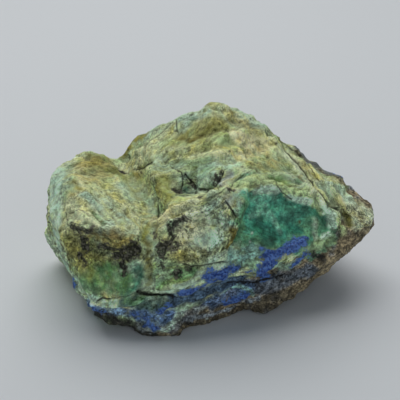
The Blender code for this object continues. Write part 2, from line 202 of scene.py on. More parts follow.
# Washes of colour: colour, half width in mm, strength, softness (share of the width
# that fades), then the pixels that the wash runs through. Later ones cover earlier ones.
WASHES = {
    # left lobe
    "mint_end": (ICE, 3.3, 0.85, 0.4, [(56, 176), (53, 205), (58, 242)]),
    # The end's own pale mint, lightened further as painted light, since this face turns down-left
    # into shade.
    "mint_end_low_lit": (ICE, 2.4, 1.0, 0.6, [(64, 262), (76, 282), (90, 294)]),
    "lobe_cream": (CREAM, 7.0, 0.9, 0.6, [(78, 212), (95, 203), (124, 222)]),
    "lobe_straw": (STRAW, 4.0, 0.55, 0.9, [(88, 180), (106, 188), (124, 206), (140, 212)]),
    "lobe_peach": (PEACH, 3.0, 0.4, 0.8, [(80, 170), (84, 182), (98, 176)]),
    "lobe_rim": (TAN, 2.2, 0.45, 0.9, [(84, 158), (98, 162), (112, 166)]),
    "rim_olive": (OLIVE_BROWN, 1.0, 0.7, 1.0, [(86, 155), (100, 161), (114, 166), (122, 170)]),
    "rim_olive_spots": (OLIVE, 1.0, 0.8, 1.0, [(74, 182), (80, 190)]),
    "lobe_streak": (MINT, 1.8, 0.9, 0.7, [(86, 196), (98, 208), (110, 224)]),
    "lobe_streak_dark": (SAGE, 0.7, 0.9, 0.8, [(93, 212), (104, 224)]),
    "lobe_white": (CREAM, 2.4, 0.9, 0.7, [(70, 204), (76, 220), (92, 224)]),
    "gully_shade": (OLIVE, 3.6, 0.45, 0.7, [(124, 178), (134, 188), (140, 196)]),
    "gully_straw": (STRAW, 2.2, 0.5, 0.8, [(146, 182), (152, 192)]),
    "gully_cream": (CREAM, 2.6, 0.8, 0.8, [(128, 212), (146, 222)]),
    "fold_cream": (CREAM, 2.4, 0.9, 0.7, [(132, 236), (142, 244), (144, 258)]),
    "fold_green": (MOSS, 1.4, 0.8, 0.9, [(148, 226), (142, 240)]),
    "brow_face": (OLIVE, 4.4, 0.75, 0.6, [(68, 250), (92, 258), (128, 248)]),
    "brow_olive": (TAN, 1.8, 0.85, 0.9, [(88, 240), (106, 240), (128, 242)]),
    "brow_ochre": (OCHRE, 1.0, 0.7, 0.9, [(88, 230), (104, 232), (122, 234)]),
    "lobe_green": (GREEN, 4.2, 0.95, 0.5, [(90, 282), (106, 276), (122, 284)]),
    "lobe_moss": (MOSS, 2.0, 0.7, 0.9, [(76, 266), (90, 274)]),
    "lobe_teal": (DEEP_TEAL, 2.0, 0.75, 0.8, [(137, 266), (139, 276), (137, 288)]),
    "lobe_foot": (ICE, 1.4, 0.9, 0.7, [(88, 296), (104, 303), (118, 303)]),
    # hump
    "hump_base": (PALE_GREEN, 8.0, 0.85, 0.7, [(165, 150), (200, 160), (240, 150), (262, 165)]),
    "hump_left": (CREAM, 3.4, 0.75, 0.8, [(136, 158), (156, 140), (176, 128)]),
    # Painted shade: olive along the hump's left edge, which faces away from the light.
    "hump_edge": (OLIVE, 1.9, 1.0, 0.7, [(124, 154), (132, 142), (144, 134)]),
    "hump_cream": (CREAM, 3.0, 0.8, 0.8, [(128, 166), (150, 156), (180, 156), (214, 150)]),
    "crest_cream": (CREAM, 3.0, 0.8, 0.8, [(206, 108), (226, 112), (240, 120)]),
    "crest_aqua": (MINT, 2.8, 0.95, 0.5, [(181, 124), (190, 116), (202, 112)]),
    "crest_olive": (OLIVE, 1.8, 0.6, 0.9, [(178, 137), (192, 139), (204, 132), (212, 129)]),
    "crest_olive_dark": (OLIVE_BROWN, 1.0, 0.8, 0.9, [(180, 136), (190, 141), (202, 136)]),
    "crest_ochre": (OCHRE, 1.2, 0.4, 0.9, [(173, 146), (181, 147)]),
    "crest_straw": (STRAW, 1.8, 0.8, 0.8, [(196, 148), (216, 146), (236, 150)]),
    "crest_tan": (TAN, 2.4, 0.5, 0.9, [(232, 118), (246, 124), (258, 134)]),
    "hump_light": (HIGHLIGHT_CREAM, 2.8, 1.0, 0.6, [(236, 136), (248, 144), (262, 146)]),
    "hump_tan": (TAN, 2.2, 0.6, 1.0, [(254, 166), (266, 166), (280, 160)]),
    "hump_tan_up": (TAN, 1.8, 0.7, 0.9, [(262, 150), (270, 156)]),
    # A painted highlight of bright cream on the hump.
    "hump_highlight": (HIGHLIGHT_CREAM, 2.4, 0.7, 0.8, [(222, 160), (240, 158), (256, 152)]),
    "hump_green": (SAGE, 2.0, 0.9, 0.8, [(182, 164), (196, 166), (208, 162)]),
    "hump_aqua": (MINT, 3.0, 0.6, 0.7, [(156, 162), (168, 168), (180, 172)]),
    "hump_mint": (ICE, 2.6, 0.7, 0.8, [(204, 172), (216, 166), (232, 164)]),
    # behind the middle rim
    "olive_lump": (MOSS, 2.6, 0.85, 0.8, [(164, 180), (168, 198)]),
    "lump_shade": (OLIVE_BROWN, 0.9, 0.5, 0.9, [(158, 182), (160, 200)]),
    "pocket": (MINT, 3.2, 0.95, 0.6, [(188, 180), (200, 184), (212, 176)]),
    "pocket_grey": (SLATE, 1.1, 0.95, 0.8, [(182, 188), (190, 192)]),
    "lilac_patch": (LILAC, 1.5, 1.0, 0.4, [(229, 176), (226, 184)]),
    "rim_cream": (CREAM, 1.6, 0.9, 0.8, [(198, 198), (216, 192), (234, 182)]),
    "rim_yellow": (STRAW, 1.7, 0.9, 0.8, [(170, 208), (186, 203), (206, 196)]),
    "rim_straw": (STRAW, 1.2, 0.9, 0.8, [(190, 203), (197, 201), (203, 199)]),
    # A painted highlight: bright cream along the rim's crest, which the lamps leave dim.
    "rim_left_highlight": (HIGHLIGHT_CREAM, 2.4, 0.9, 0.7, [(158, 222), (166, 212), (180, 210)]),
    # middle lobe
    "middle_pale": (PALE_MINT, 7.0, 0.9, 0.6, [(198, 222), (208, 236), (212, 222)]),
    "middle_mint": (MINT, 2.8, 0.95, 0.6, [(212, 204), (219, 225), (220, 244), (214, 260)]),
    "middle_white": (ICE, 2.4, 0.8, 0.9, [(198, 240), (208, 238)]),
    "middle_tan": (TAN, 2.2, 0.5, 0.9, [(158, 234), (168, 240), (180, 242)]),
    # A painted highlight of bright cream on the middle lobe.
    "middle_highlight": (HIGHLIGHT_CREAM, 3.0, 0.7, 0.9, [(184, 232), (198, 224)]),
    "middle_brown": (OLIVE_BROWN, 1.1, 0.6, 0.9, [(186, 250), (196, 248), (206, 255), (214, 252)]),
    "middle_olive": (OLIVE, 1.6, 0.5, 1.0, [(172, 256), (188, 258), (204, 258)]),
    "middle_low": (SAGE, 2.8, 0.8, 0.8, [(156, 272), (172, 270), (190, 272)]),
    "middle_foot": (GREEN, 1.8, 0.8, 0.8, [(156, 284), (176, 278), (196, 272)]),
    "fold_shade": (OLIVE_BROWN, 1.4, 0.75, 0.9, [(148, 240), (148, 256), (149, 270), (151, 288)]),
    "mint_band": (MINT, 1.6, 1.0, 0.5, [
        (164, 290), (184, 286), (196, 279), (206, 268), (226, 262)]),
    "step_face": (LILAC, 1.4, 0.7, 0.7, [(229, 196), (230, 203)]),
    "step_shade": (AQUA, 2.0, 0.8, 0.8, [(240, 192), (240, 206), (234, 218)]),
    # the fresh scar and its lip
    "teal_scar": (TEAL, 8.4, 1.0, 0.15, [(254, 212), (278, 218), (308, 226)]),
    "teal_left": (SCAR_GREEN, 1.8, 0.9, 0.6, [(246, 208), (242, 218), (240, 226)]),
    "teal_low_left": (SCAR_GREEN, 3.0, 0.9, 0.7, [(238, 238), (252, 246), (268, 244)]),
    "teal_green_right": (SCAR_GREEN, 3.4, 0.9, 0.7, [(302, 234), (314, 226), (322, 236)]),
    "teal_streak": (MINT, 1.2, 0.8, 0.9, [(315, 220), (315, 240)]),
    # The scar's teal, made pale as painted light against the shadow that the lip casts here.
    "teal_top_lit": (SCAR_PALE, 1.4, 0.6, 0.8, [(251, 198), (261, 198), (270, 195), (276, 198)]),
    "teal_dark_mid": (DEEP_TEAL, 2.6, 0.75, 0.7, [(257, 222), (264, 226), (268, 238)]),
    "teal_dark_right": (SCAR_DARK, 1.3, 0.6, 0.8, [(304, 209), (314, 211), (322, 220), (325, 232)]),
    "teal_light": (SCAR_PALE, 0.9, 1.0, 0.7, [
        (250, 216), (262, 212), (270, 213), (275, 222), (280, 232)]),
    "teal_light_top": (SCAR_PALE, 0.9, 0.9, 0.8, [(258, 206), (266, 205)]),
    "teal_olive": (OLIVE_BROWN, 1.1, 0.9, 0.7, [(231, 230), (236, 231), (233, 240), (229, 248)]),
    "scar_lip": (PALE_GREEN, 2.5, 1.0, 0.3, [
        (240, 184), (262, 181), (280, 183), (290, 190), (302, 194), (312, 196), (324, 204)]),
    "lip_white": (ICE, 1.3, 1.0, 0.5, [(257, 190), (267, 190), (278, 192)]),
    # Green crust, darkened as painted shade in the hollow under the lip.
    "lip_green_shade": (GREEN, 1.6, 0.6, 0.9, [(270, 180), (282, 181), (298, 183)]),
    "lip_olive": (OLIVE_BROWN, 0.9, 0.8, 0.9, [(251, 185), (258, 187)]),
    "scar_foot": (SAGE, 2.2, 1.0, 0.6, [(304, 252), (318, 246), (330, 238)]),
    "scar_foot_left": (SKY, 2.4, 0.95, 0.6, [(232, 256), (246, 255), (258, 250)]),
    # right part
    "seam_cream": (PALE_MINT, 1.8, 0.8, 0.8, [(280, 150), (296, 166), (308, 184), (322, 202)]),
    # The face's own pale mint, made paler as painted light, since the face lies in shade.
    "right_face": (PALE_MINT, 4.6, 0.95, 0.5, [(326, 188), (342, 200), (358, 210), (366, 220)]),
    "right_mint": (ICE, 2.4, 0.7, 0.7, [(328, 186), (342, 192), (350, 200)]),
    # A painted highlight of bright cream on the right part.
    "right_cream_highlight": (HIGHLIGHT_CREAM, 1.7, 0.7, 0.9, [(338, 204), (350, 210), (362, 218)]),
    "right_low": (PALE_GREEN, 1.8, 0.8, 0.8, [(336, 220), (342, 230)]),
    "right_pit_shade": (OLIVE, 1.1, 0.9, 0.8, [(346, 212), (350, 224)]),
    "right_top_rock": (SLIVER, 2.3, 0.95, 0.5, [(298, 152), (312, 162), (328, 172), (342, 179)]),
    "sliver_grey": (ROCK_GREY, 1.3, 0.9, 0.7, [(296, 148), (308, 158), (322, 167), (338, 176)]),
    "sliver_cream": (STRAW, 0.9, 0.8, 0.9, [(312, 174), (322, 180), (334, 184)]),
    # Painted light: the tip, turned away from the lamps, is painted bright cream.
    "tip_lit": (HIGHLIGHT_CREAM, 1.2, 0.8, 0.9, [(362, 228), (370, 224)]),
    # lower band
    "band_green": (SKY, 2.2, 0.8, 0.7, [(236, 264), (254, 264)]),
    "green_patch": (MOSS, 1.1, 0.9, 0.9, [(274, 263), (286, 259)]),
    "band_low_left": (SLATE, 2.6, 1.0, 0.5, [(128, 302), (150, 304), (170, 302)]),
    "band_low_green": (GREEN, 1.1, 0.7, 0.8, [(126, 298), (134, 304), (142, 298)]),
    "foot_blue": (BLUE_HAZE, 2.0, 1.0, 0.5, [(88, 304), (104, 310), (120, 310)]),
    "rock_right": (ROCK_BROWN, 3.4, 1.0, 0.25, [
        (362, 238), (348, 251), (330, 266), (306, 284), (290, 292)]),
    "rock_grey": (ROCK_GREY, 3.0, 1.0, 0.4, [(306, 270), (284, 280), (262, 288), (240, 286)]),
    "rock_low": (ROCK_UNDER, 2.8, 1.0, 0.5, [
        (284, 296), (264, 304), (240, 310), (210, 320), (180, 328)]),
    "grey_blue_low": (GREY_BLUE, 2.6, 0.9, 0.6, [(210, 302), (226, 294), (246, 288)]),
    "grey_dark_low": (SLATE_BLUE, 3.2, 1.0, 0.4, [(178, 300), (196, 294), (214, 286), (238, 277)]),
    "low_blue": (GREY_BLUE, 3.0, 1.0, 0.5, [(136, 314), (152, 322), (166, 318)]),
    # Painted light: the bottom edge's colour made pale, since the edge lies in shade.
    "low_pale_foot_lit": (ICE, 1.2, 1.0, 0.6, [(152, 332), (166, 330), (172, 325)]),
    # The underside's rock, painted dark partly for its own colour and partly as painted shade.
    "rock_low_left_shade": (ROCK_AND_SHADE, 2.8, 1.0, 0.3, [
        (100, 316), (110, 322), (124, 328), (138, 334), (148, 338)]),
    # last touches, over the others
    "teal_dark_green": (SCAR_DARK, 1.6, 0.5, 0.9, [(284, 201), (290, 212), (286, 224)]),
    "teal_dark_low": (DEEP_TEAL, 1.6, 0.9, 0.8, [(290, 228), (300, 232)]),
    "teal_dark_foot": (SCAR_DARK, 1.3, 0.9, 0.7, [(262, 243), (272, 243)]),
    "teal_pale_end": (ICE, 1.0, 0.9, 0.7, [(323, 237), (329, 234)]),
    "lip_white_mid": (ICE, 1.0, 1.0, 0.5, [(290, 197), (298, 200), (310, 202)]),
    "lip_white_end": (ICE, 1.3, 1.0, 0.5, [(325, 208), (331, 214), (332, 224)]),
    "rock_low_edge": (GREY_PALE, 0.9, 1.0, 0.7, [(258, 298), (238, 306), (212, 314), (184, 320)]),
    "grey_pale_low": (LILAC, 1.2, 0.9, 0.7, [(196, 309), (204, 308)]),
    "low_pale_edge": (SKY, 0.7, 0.9, 0.7, [(226, 293), (238, 286), (250, 289), (253, 296)]),
    "band_green_right": (AQUA, 2.0, 0.9, 0.6, [(274, 264), (288, 266), (296, 262)]),
    "brow_ochre_edge": (OCHRE, 0.6, 0.9, 0.9, [(90, 233), (104, 236), (120, 238)]),
    "pocket_green": (SCAR_GREEN, 1.6, 0.35, 0.9, [(184, 190), (200, 180), (206, 172)]),
    "low_blue_pale": (GREY_PALE, 1.3, 0.8, 0.7, [(140, 326), (152, 331), (166, 328)]),
    "rock_low_gap": (GREY_PALE, 1.8, 0.5, 0.5, [(176, 326), (180, 316), (192, 313)]),
    "lobe_mint": (MINT, 2.4, 0.8, 0.8, [(100, 196), (112, 210), (126, 222)]),
}

# Which washes are glossy, smooth, creased all over or granular rock.
GLOSSY = ("teal_scar", "lobe_teal")
SMOOTH = ("mint_end", "mint_end_low_lit", "lobe_green", "gully_shade", "hump_light", "middle_white",
          "lilac_patch", "mint_band", "lobe_foot")
CREASED = ("brow_face", "middle_pale", "middle_highlight", "middle_tan", "right_face", "rim_yellow",
           "hump_tan", "scar_lip")
ROCKY = ("rock_right", "rock_grey", "rock_low", "rock_low_edge", "rock_low_gap", "grey_blue_low",
         "grey_dark_low", "grey_pale_low", "low_pale_edge", "low_blue", "low_pale_foot_lit",
         "foot_blue", "right_top_rock", "rock_low_left_shade")

# Blue azurite and black manganese: half width in mm and the pixels.
AZURITE = {
    "upper_right": (1.44, [(266, 256), (278, 254), (290, 248), (300, 242)]),
    "upper_right_end": (1.0, [(296, 241), (305, 239)]),
    "upper_right_top": (0.88, [(261, 250), (268, 253)]),
    "upper_right_leg": (1.44, [(270, 258), (265, 265), (262, 274)]),
    "upper_right_foot": (0.88, [(258, 273), (268, 276)]),
    "chip_1": (1.1, [(294, 264), (298, 258), (302, 256)]),
    "chip_2": (0.75, [(304, 254), (311, 254)]),
    "pebble": (0.7, [(246, 272), (250, 271)]),
    "middle": (1.5, [(207, 274), (220, 272), (234, 267)]),
    "middle_low": (0.8, [(210, 281), (220, 279)]),
    "middle_tail": (0.85, [(180, 294), (194, 290), (208, 285)]),
    "low": (1.25, [(227, 302), (235, 299), (245, 293)]),
    "left_low": (0.75, [(131, 312), (140, 316), (148, 320)]),
    "left_low_2": (0.7, [(146, 325), (154, 328)]),
    "left_low_3": (0.95, [(161, 311), (167, 307)]),
    "left_foot": (0.7, [(90, 306), (98, 309), (104, 312)]),
    "left_edge": (0.5, [(71, 278), (76, 286)]),
}
MANGANESE = {
    "brow_left": (0.9, [(72, 226), (80, 230), (88, 232)]),
    "brow_dot": (0.4, [(92, 226)]),
    "left_spot": (1.4, [(63, 249)]),
    "brow_low_left": (1.0, [(82, 240), (87, 248)]),
    "brow_low_left_2": (0.6, [(80, 254), (84, 264)]),
    "brow_large": (0.9, [(100, 246), (112, 247), (122, 250), (134, 247)]),
    "brow_large_2": (1.1, [(116, 255), (126, 257), (135, 252)]),
    "brow_large_tail": (0.9, [(122, 262), (124, 272)]),
    "brow_right": (0.9, [(134, 243), (138, 250)]),
    "middle_top": (0.8, [(170, 226), (176, 223), (183, 219)]),
    "middle_top_2": (0.9, [(170, 228), (171, 236)]),
    "middle_left": (0.5, [(154, 233), (156, 237)]),
    "middle_blotch": (1.0, [(158, 244), (164, 250), (162, 256)]),
    "middle_blotch_2": (0.7, [(166, 242), (174, 248)]),
    "middle_spot": (0.4, [(176, 244), (180, 245)]),
    "middle_low": (0.5, [(161, 262), (162, 268)]),
    "low_dots": (0.7, [(175, 275), (180, 271)]),
    "low_dot_2": (0.5, [(186, 270), (189, 270)]),
    "pocket_1": (0.9, [(177, 190), (180, 190)]),
    "pocket_2": (0.5, [(214, 180), (216, 177)]),
    "pocket_4": (0.3, [(213, 185), (222, 188)]),
    "notch": (1.1, [(118, 169), (123, 172)]),
    "step_spot": (0.35, [(337, 228), (339, 234)]),
    "band_end": (0.8, [(314, 254), (322, 256)]),
    "band_spot": (0.6, [(272, 272), (276, 270)]),
    "pocket_5": (0.45, [(206, 190), (210, 191)]),
    "pocket_7": (0.6, [(190, 182), (194, 187)]),
    "pocket_8": (0.5, [(222, 173), (219, 181)]),
    "pocket_6": (0.25, [(227, 190), (236, 190)]),
}

# Specks, each a single dot: colour, half width in mm, and their pixels.
SPECKS = {
    "dark": (DARK, 0.35, [(276, 145), (263, 151), (268, 156), (229, 152), (192, 115), (176, 130),
                          (327, 206), (242, 166), (258, 162), (240, 122), (250, 119), (322, 195)]),
    "dark_green": (OLIVE_BROWN, 0.5, [(50, 215), (101, 221), (120, 219), (84, 193), (86, 183)]),
    "rust": (RUST, 0.5, [(112, 210), (299, 222), (283, 263)]),
    "white": (LILAC, 0.35, [(198, 307), (204, 309), (196, 316), (207, 318), (252, 233), (250, 242),
                            (156, 326), (150, 334)]),
}

# Small ridges and hollows: half width and height in mm, and the pixels.
FORMS = {
    "lip": (1.7, 0.7, [
        (240, 183), (262, 178), (284, 175), (302, 184), (316, 196), (328, 212), (334, 226)]),
    "scar_edge": (1.3, -0.6, [
        (252, 194), (264, 191), (277, 194), (290, 202), (306, 207), (320, 210), (328, 224),
        (328, 240)]),
    "scar_ridge": (0.9, 0.4, [(256, 216), (267, 212), (276, 222), (279, 233)]),
    "scar_dip": (1.6, -0.5, [(258, 226), (268, 236)]),
    "scar_swirl_1": (0.8, 0.4, [(300, 210), (312, 220), (317, 234), (314, 246)]),
    "scar_swirl_2": (0.8, 0.4, [(306, 250), (318, 247), (326, 238)]),
    "lip_hollow": (1.2, -0.6, [(278, 181), (292, 185), (303, 188)]),
    "seam_rim": (1.2, 0.5, [(270, 140), (284, 158), (298, 174), (312, 190), (324, 206)]),
    "seam_rim_far": (1.0, 0.5, [(296, 152), (310, 168), (324, 184), (338, 200)]),
    "right_ridge": (1.3, 0.6, [(322, 182), (342, 188), (356, 204), (366, 220)]),
    "right_dip": (1.5, -0.7, [(334, 202), (344, 212), (350, 224)]),
    "right_fold": (1.0, 0.5, [(336, 208), (340, 220), (338, 232)]),
    "hump_ledge": (1.5, 0.4, [(246, 131), (212, 139), (188, 147), (162, 153)]),
    "hump_hollow": (1.9, -0.4, [(178, 136), (196, 135), (214, 128)]),
    "hump_ledge_low": (1.4, 0.4, [(254, 148), (220, 154), (192, 161), (178, 165)]),
    "hump_dip_low": (1.4, -0.3, [(240, 140), (214, 147), (190, 154)]),
    "hump_left_ledge": (1.2, 0.3, [(172, 138), (152, 147), (128, 155)]),
    "hump_dots": (1.6, -0.5, [(256, 160), (270, 158)]),
    "crest_ledge": (1.2, 0.5, [(206, 108), (224, 116), (240, 120)]),
    "pocket_rim": (1.0, 0.6, [(254, 171), (230, 180), (212, 192), (196, 197)]),
    "lobe_rim": (1.6, 0.7, [(72, 164), (86, 156), (104, 162), (114, 169)]),
    "lobe_dip": (1.6, -0.5, [(82, 172), (98, 176), (112, 172)]),
    "lobe_streak": (1.0, 0.7, [(86, 194), (100, 208), (114, 224)]),
    "lobe_groove": (0.8, -0.7, [(90, 211), (104, 225)]),
    "lobe_ridge": (1.2, 0.6, [(66, 206), (78, 212), (92, 222)]),
    "lobe_ridge_right": (1.2, 0.6, [(116, 202), (133, 216), (154, 224)]),
    "brow": (1.2, 0.6, [(68, 222), (90, 228), (118, 231), (134, 238)]),
    "brow_under": (1.3, -0.7, [(74, 236), (96, 239), (124, 242), (138, 246)]),
    "rim_crest": (1.1, 0.7, [(156, 224), (168, 211), (186, 205), (206, 197), (226, 189)]),
    "rim_under": (0.9, -0.5, [(172, 216), (190, 210), (212, 203)]),
    "rim_second": (1.1, 0.5, [(170, 222), (188, 214), (212, 208), (222, 212)]),
    "middle_fold": (1.1, 0.5, [(206, 214), (214, 230), (220, 246)]),
    "middle_groove": (0.9, -0.6, [(224, 208), (227, 226), (224, 250)]),
    "middle_pit": (1.2, -0.6, [(160, 246), (168, 250)]),
    "step_edge": (1.1, 0.6, [(247, 186), (240, 204), (236, 222)]),
    "fold_lump": (1.6, 0.6, [(136, 236), (143, 250), (140, 262)]),
    "green_knob": (1.5, 0.6, [(108, 266), (116, 272)]),
    "green_knob_2": (1.5, 0.5, [(98, 284), (112, 286)]),
    "foot_ledge": (1.1, 0.7, [(84, 300), (104, 306), (124, 304), (140, 302)]),
    "mint_ledge": (1.0, 0.6, [(156, 288), (184, 286), (204, 272), (228, 263)]),
    "azurite_edge": (1.0, 0.6, [(256, 254), (278, 252), (304, 240)]),
    "low_crevice": (0.9, -0.6, [(176, 300), (204, 292), (228, 285)]),
    "pebble": (1.4, 0.6, [(246, 269)]),
}

# Cracks and seams: half width and depth in mm, darkness, and the pixels.
CRACKS = {
    "split": (0.4, 0.9, 1.0, [(139, 292), (148, 294), (158, 295), (166, 295), (174, 298)]),
    "split_left": (0.2, 0.4, 0.9, [(98, 301), (102, 298), (109, 299)]),
    "band_crack": (0.3, 0.6, 1.0, [(228, 283), (240, 282), (252, 283), (264, 279), (284, 276)]),
    "pebble_crack": (0.14, 0.3, 0.9, [(242, 262), (240, 269), (242, 276), (248, 281), (253, 285)]),
    "under_middle": (0.2, 0.4, 0.8, [(183, 264), (192, 267), (202, 266), (212, 264), (224, 262)]),
    "seam": (0.22, 0.6, 0.8, [
        (274, 131), (285, 148), (299, 165), (311, 180), (322, 195), (329, 205), (338, 209)]),
    "seam_inner": (0.14, 0.2, 0.8, [(286, 152), (304, 172), (316, 188), (326, 204)]),
    "seam_outer": (0.16, 0.2, 0.7, [(280, 136), (292, 150), (306, 164), (318, 180)]),
    "lip_crack": (0.13, 0.3, 0.9, [(266, 176), (273, 178), (277, 186), (283, 193), (291, 199)]),
    "rim_crack": (0.12, 0.3, 0.7, [(250, 172), (238, 180), (222, 192), (208, 199), (196, 198)]),
    "fissure_1": (0.14, 0.3, 0.9, [(172, 167), (176, 170), (182, 173), (183, 180), (181, 188)]),
    "fissure_2": (0.16, 0.3, 1.0, [(185, 174), (188, 178), (192, 183), (195, 189), (195, 193)]),
    "fissure_3": (0.15, 0.3, 1.0, [(196, 179), (197, 187)]),
    "rod": (0.16, 0.2, 1.0, [(224, 172), (221, 179), (218, 185)]),
    "gully_line": (0.16, 0.3, 0.9, [(120, 172), (132, 171), (143, 168), (150, 162)]),
    "gully_dots": (0.18, 0.3, 0.8, [(157, 180), (158, 196)]),
    "crease": (0.22, 0.8, 0.7, [(158, 198), (157, 206), (158, 216)]),
    "step_top": (0.24, 0.3, 1.0, [(227, 203), (231, 209), (235, 216)]),
    "step": (0.14, 0.3, 0.6, [(236, 218), (231, 229), (229, 240), (227, 252)]),
    "crest_crack": (0.14, 0.3, 0.9, [(175, 119), (176, 126), (177, 132)]),
    "crest_hair": (0.1, 0.2, 0.6, [(172, 121), (163, 131), (150, 141)]),
    "left_crack": (0.12, 0.2, 0.9, [(66, 214), (68, 224), (71, 228)]),
    "brow_hair": (0.12, 0.2, 0.7, [(70, 213), (80, 212), (90, 217)]),
    "scar_swirl": (0.1, 0.1, 0.5, [(312, 242), (322, 240), (332, 232), (330, 222)]),
    "right_hair": (0.12, 0.2, 0.7, [(352, 206), (360, 214), (366, 216)]),
    "split_hair": (0.1, 0.2, 0.7, [(109, 299), (124, 297), (138, 292)]),
    "seam_hole": (0.45, 0.6, 0.8, [(330, 204), (337, 208)]),
    "fissure_4": (0.3, 0.3, 1.0, [(199, 189), (204, 189)]),
    "fissure_5": (0.12, 0.2, 0.8, [(204, 189), (213, 188)]),
    "fissure_6": (0.14, 0.2, 0.8, [(184, 190), (188, 192), (195, 192)]),
}

# How much longer than wide the crust's threads and ledges are in each region, and their
# way, from pixel to pixel.
THREAD_WAYS = {
    "left_rim": (2.6, [(74, 160), (118, 168)]),
    "left_lobe": (2.4, [(74, 190), (124, 226)]),
    "left_face": (1.3, [(84, 242), (98, 288)]),
    "gully": (2.0, [(124, 176), (156, 212)]),
    "hump": (2.6, [(262, 118), (172, 160)]),
    "hump_low": (2.6, [(222, 160), (152, 178)]),
    "hump_right": (2.0, [(240, 120), (296, 172)]),
    "middle_rim": (2.6, [(156, 224), (222, 190)]),
    "middle_face": (1.7, [(168, 220), (196, 262)]),
    "lip": (2.4, [(238, 186), (306, 186)]),
    "scar": (1.6, [(250, 205), (316, 240)]),
    "right_face": (2.6, [(292, 154), (336, 210)]),
    "right_end": (2.2, [(336, 188), (366, 218)]),
    "band": (2.8, [(140, 302), (304, 248)]),
    "rock": (2.6, [(250, 306), (360, 236)]),
}


# -------- strokes on the stone
def pixel_ray(x, y):
    """Direction from the eye through a pixel."""
    half = IMAGE_SIZE / 2
    across = VIEW_RIGHT * ((x - half) / FOCAL_PIXELS)
    up = VIEW_UP * ((half - y) / FOCAL_PIXELS)
    return (across + up - TOWARDS_VIEWER).normalized()


def on_stone(tree, x, y):
    """The point of the stone that a pixel shows, or the nearest one inwards."""
    for _ in range(EDGE_TRIES):
        hit = tree.ray_cast(EYE, pixel_ray(x, y))[0]
        if hit is not None:
            return hit
        inwards = Vector((MIDDLE_OF_VIEW[0] - x, MIDDLE_OF_VIEW[1] - y)).normalized()
        x, y = x + inwards.x, y + inwards.y
    raise RuntimeError("a stroke misses the stone")


def stroke_points(tree, pixels):
    """A stroke's pixels, with more between them, as points on the stone."""
    path = [pixels[0]]
    for (x0, y0), (x1, y1) in zip(pixels[:-1], pixels[1:]):
        steps = max(1, round(math.hypot(x1 - x0, y1 - y0) / STROKE_STEP))
        path += [(x0 + (x1 - x0) * i / steps, y0 + (y1 - y0) * i / steps)
                 for i in range(1, steps + 1)]
    return np.array([on_stone(tree, x, y) for x, y in path])


def near_to(points, line, reach):
    """Which points are in a line's box, grown by reach."""
    low, high = line.min(0) - reach, line.max(0) + reach
    return np.flatnonzero(((points > low) & (points < high)).all(1))


def stretches(points, line):
    """For each stretch of a line, its direction and the way to each point from it."""
    for start, end in zip(line[:-1], line[1:]):
        along = end - start
        t = np.clip((points - start) @ along / max(along @ along, TOUCHING), 0, 1)
        yield along, points - (start + t[:, None] * along)


def distance_to(points, line, reach):
    """Distance in metres from each point to a line, or twice reach where it's further."""
    distance = np.full(len(points), 2 * reach)
    near = near_to(points, line, reach)
    best = np.linalg.norm(points[near] - line[0], axis=1)
    for _, away in stretches(points[near], line):
        best = np.minimum(best, np.linalg.norm(away, axis=1))
    distance[near] = best
    return distance


def side_of(points, normals, line, reach):
    """Distance in metres to a line, negative on one side of it, or 2 * reach far from it."""
    side = np.full(len(points), 2 * reach)
    near = near_to(points, line, reach)
    facing, signed, best = normals[near], side[near], np.full(len(near), np.inf)
    for along, away in stretches(points[near], line):
        d = np.linalg.norm(away, axis=1)
        sign = np.where((np.cross(along, away) * facing).sum(1) < 0, -1.0, 1.0)
        signed = np.where(d < best, sign * d, signed)
        best = np.minimum(best, d)
    side[near] = signed
    return side


def from_stroke(points, tree, pixels, reach):
    """Distance in mm from each point to a stroke, or twice reach where it's further."""
    return distance_to(points, stroke_points(tree, pixels), reach * MM) / MM


def marks(points, tree, strokes, edge_noise):
    """How far inside the nearest of some strokes each point is, in mm."""
    inside = np.full(len(points), -FAR)
    for half_width, pixels in strokes.values():
        d = from_stroke(points, tree, pixels, half_width + FAR)
        inside = np.maximum(inside, half_width - d)
    return inside + edge_noise


def zone(points, tree, names):
    """1 inside some of the washes, fading to 0 at their edges."""
    inside = np.zeros(len(points))
    for name in names:
        _, half_width, _, _, pixels = WASHES[name]
        d = from_stroke(points, tree, pixels, half_width * 1.3)
        inside = np.maximum(inside, 1 - smoothstep(0.65 * half_width, 1.1 * half_width, d))
    return inside


# -------- fields over the stone
def smoothstep(low, high, value):
    t = np.clip((value - low) / (high - low), 0, 1)
    return t * t * (3 - 2 * t)


def mix(base, target, amount):
    """Values moved towards a target; a colour's channels move together."""
    return base + (target - base) * (amount if base.ndim == 1 else amount[:, None])


def noise_field(points, wavelength, seed):
    """Perlin noise at each point, from -1 to 1."""
    offset = Vector((seed * 7.31, seed * 3.17, seed * 5.77))
    return np.array([noise.noise(Vector(q) + offset) for q in points / wavelength])


def thread_regions(points, tree):
    """The middle, way and squeeze of each region's threads, and its share at each point."""
    bed_way = np.array((Vector((1, 0, 0)) - BED_AXIS * BED_AXIS.x).normalized())
    regions = [(np.zeros(3), bed_way, 1 - 1 / THREAD_STRETCH)]
    shares = [np.full(len(points), THREAD_FLOOR)]
    for stretch, pixels in THREAD_WAYS.values():
        line = stroke_points(tree, pixels)
        way = line[-1] - line[0]
        regions.append((line.mean(0), way / np.linalg.norm(way), 1 - 1 / stretch))
        shares.append(distance_to(points, line, BLOCK_REACH) / MM + 1.0)
    shares = 1 / np.array(shares) ** 4
    return regions, shares / shares.sum(0)


def combed_place(points, regions, shares):
    """Each point's place, drawn in along its threads, so that noise runs along them."""
    place = points.copy()
    for (middle, way, squeeze), share in zip(regions, shares):
        place -= np.outer(share * ((points - middle) @ way) * squeeze, way)
    return place


